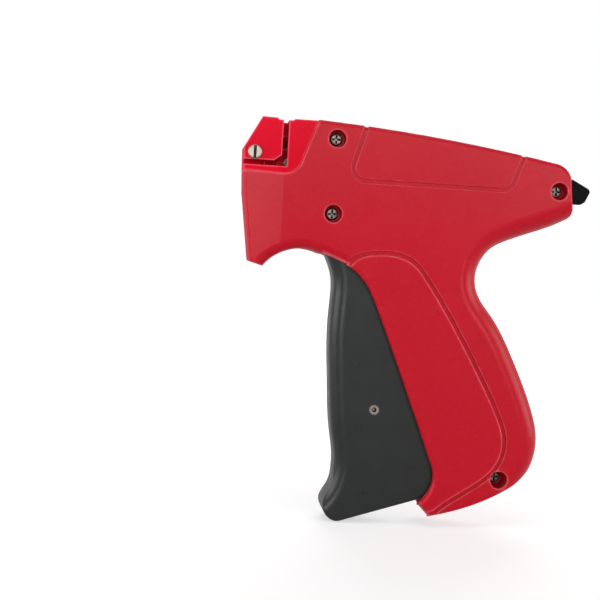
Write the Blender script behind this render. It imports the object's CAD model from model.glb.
"""Looks of a garment tag attacher: a squeeze-trigger hand tool with a red moulded housing.

Metres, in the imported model's own frame: the origin is the mouth of the needle socket, -X is
forward, +Z is up and the housing halves meet at y = 0.
"""
import math

import bmesh
import bpy
from mathutils import Matrix, Vector


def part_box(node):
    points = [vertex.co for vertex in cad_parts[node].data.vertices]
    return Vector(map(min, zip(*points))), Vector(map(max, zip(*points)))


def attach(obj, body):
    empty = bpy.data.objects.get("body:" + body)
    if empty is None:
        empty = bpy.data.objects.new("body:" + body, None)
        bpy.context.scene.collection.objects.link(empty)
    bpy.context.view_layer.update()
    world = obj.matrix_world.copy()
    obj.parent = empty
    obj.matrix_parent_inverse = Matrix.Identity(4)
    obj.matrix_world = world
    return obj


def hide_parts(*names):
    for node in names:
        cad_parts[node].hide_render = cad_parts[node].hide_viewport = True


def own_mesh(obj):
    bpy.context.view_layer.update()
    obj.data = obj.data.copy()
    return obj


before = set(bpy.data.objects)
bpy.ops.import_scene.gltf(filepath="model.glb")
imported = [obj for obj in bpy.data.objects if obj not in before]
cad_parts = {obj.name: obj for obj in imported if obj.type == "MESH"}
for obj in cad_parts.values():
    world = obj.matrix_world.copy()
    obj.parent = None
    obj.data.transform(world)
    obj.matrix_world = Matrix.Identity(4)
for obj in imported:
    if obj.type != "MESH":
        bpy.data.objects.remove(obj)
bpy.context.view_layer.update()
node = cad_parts


# ------------------------------------------------------------------ housing halves
# The two half shells are moulded in red ABS with a fine spark-eroded grain. Four screws from
# the left side pull them together, and a hairline shows where they meet.
MM = 0.001
SHELL_RED = (184, 9, 32)
SHELL_DEEPER_RED = (178, 8, 30)
SHELL_RUBBED = (244, 104, 114)
SHELL_GRIME = (110, 3, 16)


def paint(*screen_colour):
    """An 8-bit screen colour as the linear colour that a shader wants, by the sRGB curve."""
    linear = []
    for level in screen_colour:
        share = level / 255
        linear.append(((share + 0.055) / 1.055) ** 2.4 if level > 10 else share / 12.92)
    return (*linear, 1.0)


def add_node(tree, kind, **settings):
    """A new node in a material's or a world's tree."""
    made = tree.nodes.new(kind)
    for key, value in settings.items():
        setattr(made, key, value)
    return made


class Finish:
    """A procedural material, built up one effect at a time on a Principled shader."""

    RAYS = 8                      # that feel for an edge or for the openness of a place
    NOISE_MIDDLE = (0.35, 0.65)   # where most of the noise's values lie
    NOISE_BROAD = (0.3, 0.7)      # where nearly all of them lie
    WEAR_PATCH = 5 * MM           # size of the patches that edge wear comes in
    WEAR_BETWEEN = 0.55           # share of the wear that is left between the patches
    GRIME_STARTS = 0.9            # openness under which dirt begins to settle
    GLANCING = (0.55, 0.95)       # facing, from where the gloss starts to dull to its dullest

    def __init__(self, name, colour, roughness, metallic=0.0, gloss=0.5):
        self.material = bpy.data.materials.new(name)
        self.material.use_nodes = True
        self.tree = self.material.node_tree
        self.shader = self.tree.nodes["Principled BSDF"]
        self.colour = paint(*colour)
        self.roughness = roughness
        self.shader.inputs["Base Color"].default_value = self.colour
        self.shader.inputs["Metallic"].default_value = metallic
        self.shader.inputs["Roughness"].default_value = roughness
        self.shader.inputs["Specular IOR Level"].default_value = gloss
        self.place = self.add("ShaderNodeTexCoord").outputs["Object"]
        self.colour_link = None
        self.normal_link = None

    def add(self, kind, **settings):
        return add_node(self.tree, kind, **settings)

    def join(self, source, target):
        self.tree.links.new(source, target)

    def noise(self, size, detail=3.0, stretch=(1.0, 1.0, 1.0)):
        """Noise whose features are about size across, in metres."""
        mapping = self.add("ShaderNodeMapping")
        mapping.inputs["Scale"].default_value = stretch
        self.join(self.place, mapping.inputs["Vector"])
        texture = self.add("ShaderNodeTexNoise")
        texture.inputs["Scale"].default_value = 1.0 / size
        texture.inputs["Detail"].default_value = detail
        self.join(mapping.outputs["Vector"], texture.inputs["Vector"])
        return texture.outputs["Fac"]

    def ranged(self, value, low, high, to_low, to_high):
        """A value carried from one range to another, and kept inside it."""
        ramp = self.add("ShaderNodeMapRange")
        ramp.inputs["From Min"].default_value = low
        ramp.inputs["From Max"].default_value = high
        ramp.inputs["To Min"].default_value = to_low
        ramp.inputs["To Max"].default_value = to_high
        self.join(value, ramp.inputs["Value"])
        return ramp.outputs["Result"]

    def calculate(self, operation, first, second):
        """Two values added or multiplied."""
        result = self.add("ShaderNodeMath", operation=operation)
        self.join(first, result.inputs[0])
        self.join(second, result.inputs[1])
        return result.outputs["Value"]

    def tint(self, mask, colour):
        """Another colour laid over what is there, where the mask says."""
        mix = self.add("ShaderNodeMix", data_type="RGBA")
        self.join(mask, mix.inputs["Factor"])
        if self.colour_link:
            self.join(self.colour_link, mix.inputs["A"])
        else:
            mix.inputs["A"].default_value = self.colour
        mix.inputs["B"].default_value = paint(*colour)
        self.colour_link = mix.outputs["Result"]
        self.join(self.colour_link, self.shader.inputs["Base Color"])

    def turn_normal(self, normal):
        """A new surface normal for the shader, and for the next effect to start from."""
        self.normal_link = normal
        self.join(normal, self.shader.inputs["Normal"])

    def mottle(self, colour, size, share):
        """Slow colour change of the moulding or of the metal."""
        self.tint(self.ranged(self.noise(size), *self.NOISE_MIDDLE, 0.0, share), colour)

    def openness(self, reach, inside=False, only_local=True):
        """How open the place is within a reach: outside it, or inside the material."""
        closeness = self.add("ShaderNodeAmbientOcclusion", samples=self.RAYS,
                             inside=inside, only_local=only_local)
        closeness.inputs["Distance"].default_value = reach
        return closeness.outputs["AO"]

    def wear(self, colour, reach, share, starts=0.95, full=0.6):
        """Outer edges rubbed paler by handling, more in some patches than in others."""
        edge = self.ranged(self.openness(reach, inside=True), starts, full, 0.0, share)
        patches = self.ranged(self.noise(self.WEAR_PATCH), *self.NOISE_MIDDLE,
                              self.WEAR_BETWEEN, 1.0)
        self.tint(self.calculate("MULTIPLY", edge, patches), colour)

    def grime(self, colour, reach, share, full=0.35, only_local=True):
        """Oil and dust that settle in slots and hollow corners."""
        openness = self.openness(reach, only_local=only_local)
        self.tint(self.ranged(openness, self.GRIME_STARTS, full, 0.0, share), colour)

    def soften(self, radius):
        """Edges as they leave the mould or the tool: not sharp."""
        bevel = self.add("ShaderNodeBevel", samples=self.RAYS)
        bevel.inputs["Radius"].default_value = radius
        self.turn_normal(bevel.outputs["Normal"])

    def grain(self, size, depth, stretch=(1.0, 1.0, 1.0)):
        """Small relief, on top of the softened edges."""
        bump = self.add("ShaderNodeBump")
        bump.inputs["Strength"].default_value = 1.0
        bump.inputs["Distance"].default_value = depth
        self.join(self.noise(size, stretch=stretch), bump.inputs["Height"])
        if self.normal_link:
            self.join(self.normal_link, bump.inputs["Normal"])
        self.turn_normal(bump.outputs["Normal"])

    def polish(self, size, spread, glancing=0.0):
        """Roughness that changes over the surface, and that can grow at a glancing view."""
        rough = self.ranged(self.noise(size, detail=4.0), *self.NOISE_BROAD,
                            self.roughness - spread, self.roughness + spread)
        if glancing:
            facing = self.add("ShaderNodeLayerWeight").outputs["Facing"]
            duller = self.ranged(facing, *self.GLANCING, 0.0, glancing)
            rough = self.calculate("ADD", rough, duller)
        self.join(rough, self.shader.inputs["Roughness"])


def smooth(piece, crisp_from_deg=28.0):
    """Smooth shading that leaves the sharper edges crisp."""
    piece.data.shade_smooth()
    piece.data.set_sharp_from_angle(angle=math.radians(crisp_from_deg))


def dress(finish, *names):
    """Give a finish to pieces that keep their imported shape."""
    for name in names:
        node[name].data.materials.clear()
        node[name].data.materials.append(finish.material)
        smooth(node[name])


shell = Finish("red_shell", SHELL_RED, roughness=0.27, gloss=0.15)
shell.mottle(SHELL_DEEPER_RED, size=30 * MM, share=0.5)
shell.wear(SHELL_RUBBED, reach=1.6 * MM, share=0.8, starts=0.78, full=0.5)
shell.grime(SHELL_GRIME, reach=0.8 * MM, share=0.5)
shell.soften(radius=0.6 * MM)
shell.grain(size=0.4 * MM, depth=0.009 * MM)
shell.polish(size=9 * MM, spread=0.04, glancing=0.4)
dress(shell, "housing_left", "housing_right")


# ------------------------------------------------------------------ nose insert
# The insert is a glossier red acetal block between the halves. It holds the needle socket,
# the clip channel with its slot, and the feed gear, whose pocket a small plate closes.
NOSE_RED = (216, 6, 40)
NOSE_DEEPER_RED = (204, 4, 36)
NOSE_RUBBED = (255, 110, 124)
NOSE_GRIME = (96, 0, 14)

nose = Finish("nose_red", NOSE_RED, roughness=0.22, gloss=0.05)
nose.mottle(NOSE_DEEPER_RED, size=14 * MM, share=0.5)
nose.wear(NOSE_RUBBED, reach=0.7 * MM, share=0.85)
nose.grime(NOSE_GRIME, reach=2.2 * MM, share=0.7)
nose.soften(radius=0.35 * MM)
nose.grain(size=1.1 * MM, depth=0.004 * MM)
nose.polish(size=5 * MM, spread=0.05, glancing=0.4)
dress(nose, "nose_block", "feed_cover")


# ------------------------------------------------------------------ needle lock
# The slotted screw that clamps the needle is turned from steel and nickel-plated. It stands
# in the left face of the insert, with old oil in its slot.
NICKEL = (148, 138, 128)
NICKEL_DULLED = (124, 114, 104)
SLOT_OIL = (16, 8, 8)

nickel = Finish("bright_nickel", NICKEL, roughness=0.38, metallic=1.0)
nickel.mottle(NICKEL_DULLED, size=2.5 * MM, share=0.6)
nickel.grime(SLOT_OIL, reach=1.2 * MM, share=1.0, full=0.7)
nickel.soften(radius=0.15 * MM)
nickel.grain(size=0.12 * MM, depth=0.003 * MM, stretch=(1.0, 1.0, 4.0))
nickel.polish(size=1.5 * MM, spread=0.09)
dress(nickel, "needle_lock")


# ------------------------------------------------------------------ cutter blade
# The small knife at the foot of the clip slot parts each fastener from its clip. It is
# hardened steel, left dark, with a bright ground edge.
KNIFE_STEEL = (62, 54, 46)
KNIFE_DARKER = (36, 30, 25)
KNIFE_EDGE = (150, 145, 135)

knife = Finish("knife_steel", KNIFE_STEEL, roughness=0.42, metallic=1.0)
knife.mottle(KNIFE_DARKER, size=1.5 * MM, share=0.7)
knife.wear(KNIFE_EDGE, reach=0.2 * MM, share=0.4)
knife.soften(radius=0.06 * MM)
knife.grain(size=0.1 * MM, depth=0.002 * MM, stretch=(1.0, 6.0, 1.0))
knife.polish(size=1 * MM, spread=0.08)
dress(knife, "cutter_blade")


# ------------------------------------------------------------------ feed wheel
# A small acetal wheel, moulded in one with its ratchet, draws the clip down the channel. It
# is dark with the red dust that has come off the clips and the insert.
WHEEL_STAINED = (200, 50, 60)
WHEEL_DARKER = (170, 36, 44)
WHEEL_RUBBED = (214, 100, 104)
WHEEL_DUST = (170, 8, 24)

worn_acetal = Finish("worn_acetal", WHEEL_STAINED, roughness=0.45, gloss=0.2)
worn_acetal.mottle(WHEEL_DARKER, size=2 * MM, share=0.6)
worn_acetal.wear(WHEEL_RUBBED, reach=0.3 * MM, share=0.3)
worn_acetal.grime(WHEEL_DUST, reach=6 * MM, share=1.0, full=0.6, only_local=False)
worn_acetal.soften(radius=0.15 * MM)
worn_acetal.grain(size=0.3 * MM, depth=0.004 * MM)
worn_acetal.polish(size=2 * MM, spread=0.07)
dress(worn_acetal, "feed_wheel")


# ------------------------------------------------------------------ feed axle, pawl and detent
# The wheel turns on a ground steel axle. A stamped pawl on its own pin turns it by one tooth
# a squeeze, and a leaf spring holds it between squeezes.
STEEL = (176, 176, 178)
STEEL_DULLED = (140, 140, 144)
STEEL_OIL = (30, 27, 25)

ground_steel = Finish("ground_steel", STEEL, roughness=0.22, metallic=1.0)
ground_steel.mottle(STEEL_DULLED, size=3 * MM, share=0.5)
ground_steel.grime(STEEL_OIL, reach=0.8 * MM, share=0.9)
ground_steel.soften(radius=0.08 * MM)
ground_steel.grain(size=0.08 * MM, depth=0.002 * MM, stretch=(6.0, 1.0, 1.0))
ground_steel.polish(size=2 * MM, spread=0.07)
dress(ground_steel, "feed_axle", "pawl_pin", "feed_pawl", "detent_spring")


# ------------------------------------------------------------------ trigger
# A long lever moulded in dark grey nylon, hollow behind. It swings on the post of the lower
# front screw and slides into the grip as it is squeezed.
NYLON_GREY = (25, 28, 26)
NYLON_DARKER = (21, 24, 23)
NYLON_RUBBED = (96, 102, 97)

grey = Finish("grey_nylon", NYLON_GREY, roughness=0.32, gloss=0.25)
grey.mottle(NYLON_DARKER, size=22 * MM, share=0.6)
grey.wear(NYLON_RUBBED, reach=0.7 * MM, share=0.25)
grey.soften(radius=0.3 * MM)
grey.grain(size=0.4 * MM, depth=0.01 * MM)
grey.polish(size=8 * MM, spread=0.05, glancing=0.2)
dress(grey, "trigger")


# ------------------------------------------------------------------ trigger pin
# A steel pin with drilled ends crosses the trigger and carries the cam roller. It has the
# same dull zinc plating as the housing screws.
ZINC = (128, 118, 112)
ZINC_DULLED = (88, 80, 76)
RECESS_DIRT = (22, 12, 12)

zinc = Finish("dull_zinc", ZINC, roughness=0.42, metallic=1.0)
zinc.mottle(ZINC_DULLED, size=1.2 * MM, share=0.7)
zinc.grime(RECESS_DIRT, reach=0.9 * MM, share=1.0, full=0.6)
zinc.soften(radius=0.12 * MM)
zinc.grain(size=0.12 * MM, depth=0.004 * MM)
zinc.polish(size=1.2 * MM, spread=0.1)
dress(zinc, "trigger_pin")


# ------------------------------------------------------------------ roller, drive lever and slide
# The roller runs in the cam slot of a kneed lever, which turns the short squeeze into the long
# stroke of the slide. All three are moulded in natural acetal, which needs no oil.
ACETAL = (226, 224, 214)
ACETAL_YELLOWED = (214, 210, 196)
ACETAL_RUBBED = (240, 238, 232)
ACETAL_GRIME = (120, 110, 96)

acetal = Finish("natural_acetal", ACETAL, roughness=0.38)
acetal.mottle(ACETAL_YELLOWED, size=6 * MM, share=0.6)
acetal.wear(ACETAL_RUBBED, reach=0.4 * MM, share=0.4)
acetal.grime(ACETAL_GRIME, reach=1.5 * MM, share=0.5)
acetal.soften(radius=0.15 * MM)
acetal.grain(size=0.4 * MM, depth=0.004 * MM)
acetal.polish(size=3 * MM, spread=0.07)
dress(acetal, "cam_roller", "drive_lever", "slide")


# ------------------------------------------------------------------ pins, push rod and bush
# The drive lever's pivot, the cross pin of the slide and the thin push rod are ground steel.
# A turned brass bush behind the nose keeps the rod straight.
BRASS = (196, 158, 92)
BRASS_DULLED = (170, 130, 70)
BRASS_OIL = (60, 40, 20)

brass = Finish("turned_brass", BRASS, roughness=0.24, metallic=1.0)
brass.mottle(BRASS_DULLED, size=4 * MM, share=0.5)
brass.grime(BRASS_OIL, reach=0.9 * MM, share=0.8)
brass.soften(radius=0.1 * MM)
brass.grain(size=0.1 * MM, depth=0.002 * MM, stretch=(8.0, 1.0, 1.0))
brass.polish(size=2 * MM, spread=0.06)
dress(ground_steel, "lever_pin", "slide_pin", "ejector_rod")
dress(brass, "rod_guide")


# ------------------------------------------------------------------ return spring
# A music-wire spring round the push rod opens the trigger again. Its closed ends sit on the
# brass bush and on the slide's front face, and it shortens as the slide comes forward.
COIL_RADIUS = 3.2 * MM
WIRE_RADIUS = 0.4 * MM
WIRE_SIDES = 10
OPEN_TURNS = 16
CLOSED_TURNS = 1
TURN_STEPS = 28


def make_coil(front, rear):
    """Round wire wound about the X axis, with its end turns lying against each other."""
    turns = OPEN_TURNS + 2 * CLOSED_TURNS
    first, last = front + WIRE_RADIUS, rear - WIRE_RADIUS
    closed = 2 * WIRE_RADIUS * CLOSED_TURNS
    along = Vector((1.0, 0.0, 0.0))
    form = bmesh.new()
    rings = []
    for step in range(turns * TURN_STEPS + 1):
        wound = step / TURN_STEPS
        if wound < CLOSED_TURNS:
            x = first + closed * wound / CLOSED_TURNS
        elif wound > turns - CLOSED_TURNS:
            x = last - closed * (turns - wound) / CLOSED_TURNS
        else:
            open_length = last - first - 2 * closed
            x = first + closed + open_length * (wound - CLOSED_TURNS) / OPEN_TURNS
        outward = Vector((0.0, math.cos(math.tau * wound), math.sin(math.tau * wound)))
        centre = outward * COIL_RADIUS + along * x
        ring = []
        for side in range(WIRE_SIDES):
            turn = math.tau * side / WIRE_SIDES
            out_of_centre = outward * math.cos(turn) + along * math.sin(turn)
            ring.append(form.verts.new(centre + WIRE_RADIUS * out_of_centre))
        rings.append(ring)
    for ring, following in zip(rings, rings[1:]):
        for side in range(WIRE_SIDES):
            other = (side + 1) % WIRE_SIDES
            form.faces.new((ring[side], ring[other], following[other], following[side]))
    form.faces.new(reversed(rings[0]))
    form.faces.new(rings[-1])
    bmesh.ops.recalc_face_normals(form, faces=form.faces)
    mesh = bpy.data.meshes.new("spring_coil")
    form.to_mesh(mesh)
    form.free()
    wire = bpy.data.objects.new("spring_coil", mesh)
    bpy.context.scene.collection.objects.link(wire)
    return wire


low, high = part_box("return_spring")
coil = make_coil(low.x, high.x)
coil.data.materials.append(ground_steel.material)
smooth(coil, crisp_from_deg=50.0)
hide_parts("return_spring")
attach(coil, "housing")
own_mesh(coil)


# ------------------------------------------------------------------ hanging eye
# A lug moulded in black nylon, held on the post of the tail screw. It stands out of the tail
# so that the tool can be hung up.
NYLON_BLACK = (5, 5, 8)
BLACK_FADED = (9, 9, 12)
BLACK_RUBBED = (60, 60, 64)

black = Finish("black_nylon", NYLON_BLACK, roughness=0.36, gloss=0.035)
black.mottle(BLACK_FADED, size=8 * MM, share=0.6)
black.wear(BLACK_RUBBED, reach=0.5 * MM, share=0.25)
black.soften(radius=0.25 * MM)
black.grain(size=0.3 * MM, depth=0.008 * MM)
black.polish(size=4 * MM, spread=0.06, glancing=0.3)
dress(black, "hang_eye")


# ------------------------------------------------------------------ housing screws
# Four cross-head screws close the housing from the left, at the bottom of their recesses.
# They are steel with dull zinc plating, and dirt has settled in their crosses.
dress(zinc, "housing_screws")


# ------------------------------------------------------------------ stand-in studio
# A pale floor in a white room. A long low window and two small lamps stand in front of the
# tool, and large soft lamps stand on the left, on the right, above and behind.
FLOOR_Z = -0.1478
FLOOR_HALF = 3.0
FLOOR_CELLS = 12
FLOOR_GREY = (192, 192, 192)
WHITE = (1.0, 1.0, 1.0, 1.0)
GLOW_REACH = (0.25, 0.9)      # the floor fades into the white room between these distances
GLOW_STRENGTH = (0.56, 1.0)
ROOM_LIGHT = 0.15
TOOL_MIDDLE = Vector((0.07, 0.0, -0.06))


def seen_directly(tree):
    """One for what the camera sees, also in metal and through glass, none for the light."""
    path = add_node(tree, "ShaderNodeLightPath")
    seen = path.outputs["Is Camera Ray"]
    for ray in ("Is Glossy Ray", "Is Transmission Ray"):
        either = add_node(tree, "ShaderNodeMath", operation="MAXIMUM")
        tree.links.new(seen, either.inputs[0])
        tree.links.new(path.outputs[ray], either.inputs[1])
        seen = either.outputs["Value"]
    return seen


def make_floor():
    """A pale floor that keeps the tool's shadow and glows white further out."""
    pale = Finish("pale_floor", FLOOR_GREY, roughness=0.8, gloss=0.1)
    pale.grain(size=3 * MM, depth=0.01 * MM)
    reach = pale.add("ShaderNodeVectorMath", operation="LENGTH")
    pale.join(pale.place, reach.inputs[0])
    fading = pale.ranged(reach.outputs["Value"], *GLOW_REACH, *GLOW_STRENGTH)
    glow = pale.calculate("MULTIPLY", fading, seen_directly(pale.tree))
    pale.join(glow, pale.shader.inputs["Emission Strength"])
    pale.shader.inputs["Emission Color"].default_value = WHITE

    form = bmesh.new()
    bmesh.ops.create_grid(form, x_segments=FLOOR_CELLS, y_segments=FLOOR_CELLS,
                          size=FLOOR_HALF, matrix=Matrix.Translation((0.0, 0.0, FLOOR_Z)))
    mesh = bpy.data.meshes.new("floor")
    form.to_mesh(mesh)
    form.free()
    mesh.materials.append(pale.material)
    floor = bpy.data.objects.new("floor", mesh)
    bpy.context.scene.collection.objects.link(floor)


def make_room():
    """White walls all round, which give the tool a little light."""
    room = bpy.data.worlds.new("room")
    bpy.context.scene.world = room
    room.use_nodes = True
    tree = room.node_tree
    strength = add_node(tree, "ShaderNodeMapRange")
    strength.inputs["To Min"].default_value = ROOM_LIGHT
    tree.links.new(seen_directly(tree), strength.inputs["Value"])
    walls = tree.nodes["Background"]
    walls.inputs["Color"].default_value = WHITE
    tree.links.new(strength.outputs["Result"], walls.inputs["Strength"])


def make_lamp(name, place, size, watts):
    """A soft rectangular lamp that is aimed at the middle of the tool."""
    light = bpy.data.lights.new(name, "AREA")
    light.shape = "RECTANGLE"
    light.size, light.size_y = size
    light.energy = watts
    lamp = bpy.data.objects.new(name, light)
    lamp.location = place
    lamp.rotation_euler = (TOOL_MIDDLE - Vector(place)).to_track_quat("-Z", "Y").to_euler()
    bpy.context.scene.collection.objects.link(lamp)


make_floor()
make_room()
make_lamp("window", place=(0.05, -1.2, 0.25), size=(1.6, 0.18), watts=5.2)
make_lamp("front_left_lamp", place=(-0.33, -1.12, -0.02), size=(0.36, 0.5), watts=3.3)
make_lamp("front_right_lamp", place=(0.62, -1.08, 0.05), size=(0.22, 0.22), watts=1.0)
make_lamp("left_lamp", place=(-1.1, -0.25, 0.0), size=(0.9, 0.9), watts=12.5)
make_lamp("right_lamp", place=(1.25, -0.35, 0.0), size=(0.8, 0.9), watts=9.5)
make_lamp("top_lamp", place=(0.0, -0.35, 0.9), size=(0.8, 0.5), watts=2.0)
make_lamp("back_lamp", place=(0.3, 1.0, 0.5), size=(0.9, 0.6), watts=8.0)


# ------------------------------------------------------------------ camera
# A long lens looks at the tool's left side, a little from the front and from above. The
# camera is rolled by a few degrees, so that the tool leans.
VIEW_PLACE = (-0.0200, -0.4816, -0.0333)
VIEW_FROM_FRONT_DEG = 5.62
VIEW_DOWN_DEG = 2.67
VIEW_ROLL_DEG = 3.3
LENS_MM = 69.0
SENSOR_MM = 36.0
NEAREST = 10 * MM

lens = bpy.data.cameras.new("camera")
lens.lens = LENS_MM
lens.sensor_width = SENSOR_MM
lens.clip_start = NEAREST
camera = bpy.data.objects.new("camera", lens)
aim = (Matrix.Rotation(math.radians(-VIEW_FROM_FRONT_DEG), 4, "Z")
       @ Matrix.Rotation(math.radians(90.0 - VIEW_DOWN_DEG), 4, "X")
       @ Matrix.Rotation(math.radians(VIEW_ROLL_DEG), 4, "Z"))
camera.matrix_world = Matrix.Translation(VIEW_PLACE) @ aim
bpy.context.scene.collection.objects.link(camera)
bpy.context.scene.camera = camera
bpy.context.scene.view_settings.view_transform = "Standard"


bpy.context.view_layer.update()
